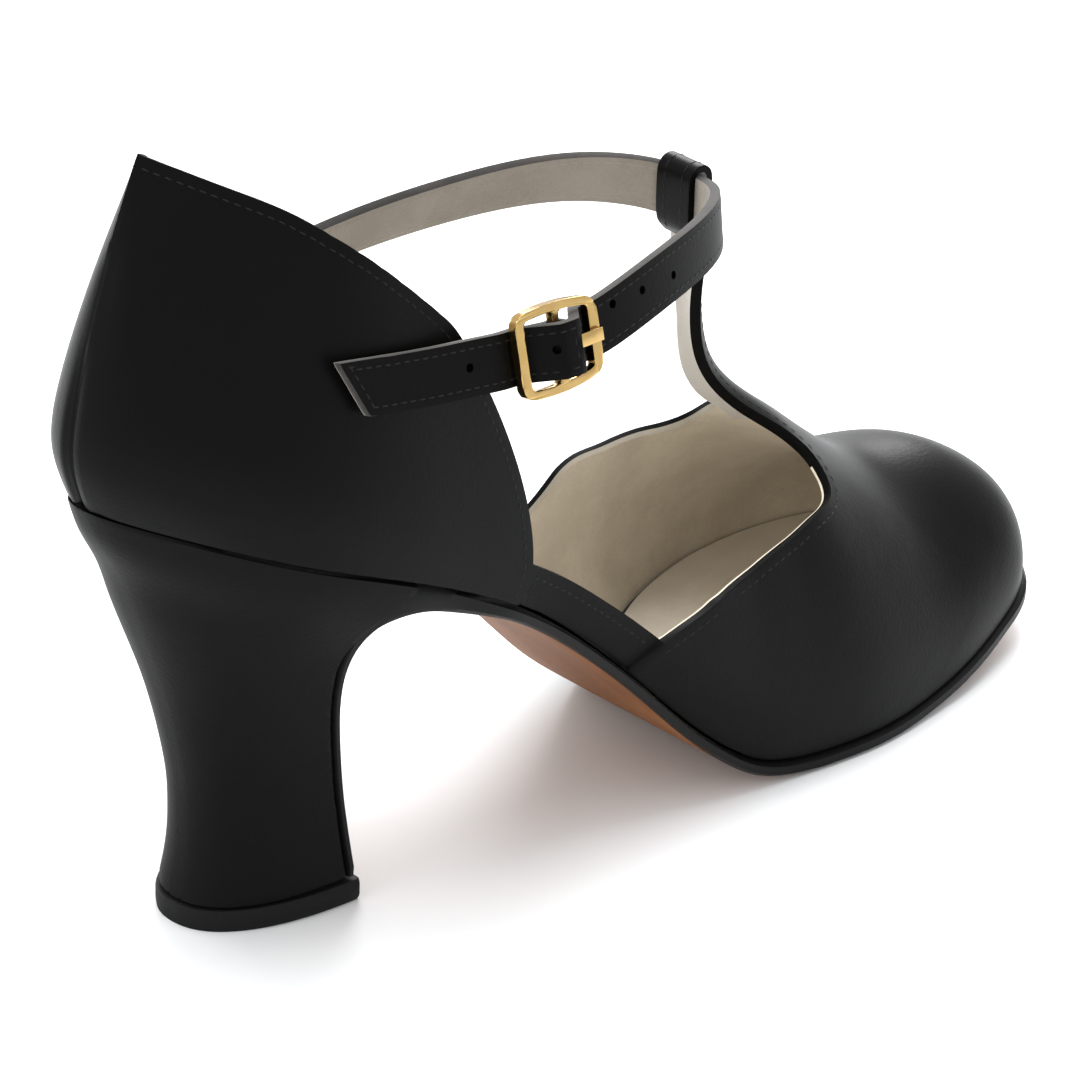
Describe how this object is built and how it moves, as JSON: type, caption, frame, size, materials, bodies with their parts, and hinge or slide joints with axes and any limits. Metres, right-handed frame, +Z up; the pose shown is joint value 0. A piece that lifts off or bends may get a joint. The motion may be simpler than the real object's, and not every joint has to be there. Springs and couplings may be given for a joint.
{
  "type": "character shoe",
  "caption": "Right T-strap character shoe with open sides, a curved covered heel, and an ankle strap that runs through the T-bar's loop to a side buckle.",
  "frame": {"origin": "on the floor, under the middle of the shoe's bounding box", "axes": "+X forward to the toe, +Y to the inner side of the foot, +Z up"},
  "size_m": [0.2132, 0.0752, 0.1387],
  "materials": {
    "sole_leather": "smooth natural tan leather with a black edge",
    "heel_cover": "satin black leather drawn over the heel",
    "top_rubber": "matte black",
    "black_leather": "satin black leather, lined in greige suede",
    "insole_suede": "soft greige suede",
    "strap_leather": "satin black leather, lined in greige leather",
    "tab_leather": "satin black leather",
    "frame_brass": "polished pale gold",
    "prong_brass": "polished pale gold"
  },
  "bodies": {
    "root": {"outsole": "sole_leather", "heel": "heel_cover", "top_piece": "top_rubber", "upper": "black_leather", "insole": "insole_suede", "ankle_strap": "strap_leather", "buckle_tab": "tab_leather", "buckle_frame": "frame_brass", "prong": "prong_brass"}
  },
  "joints": []
}
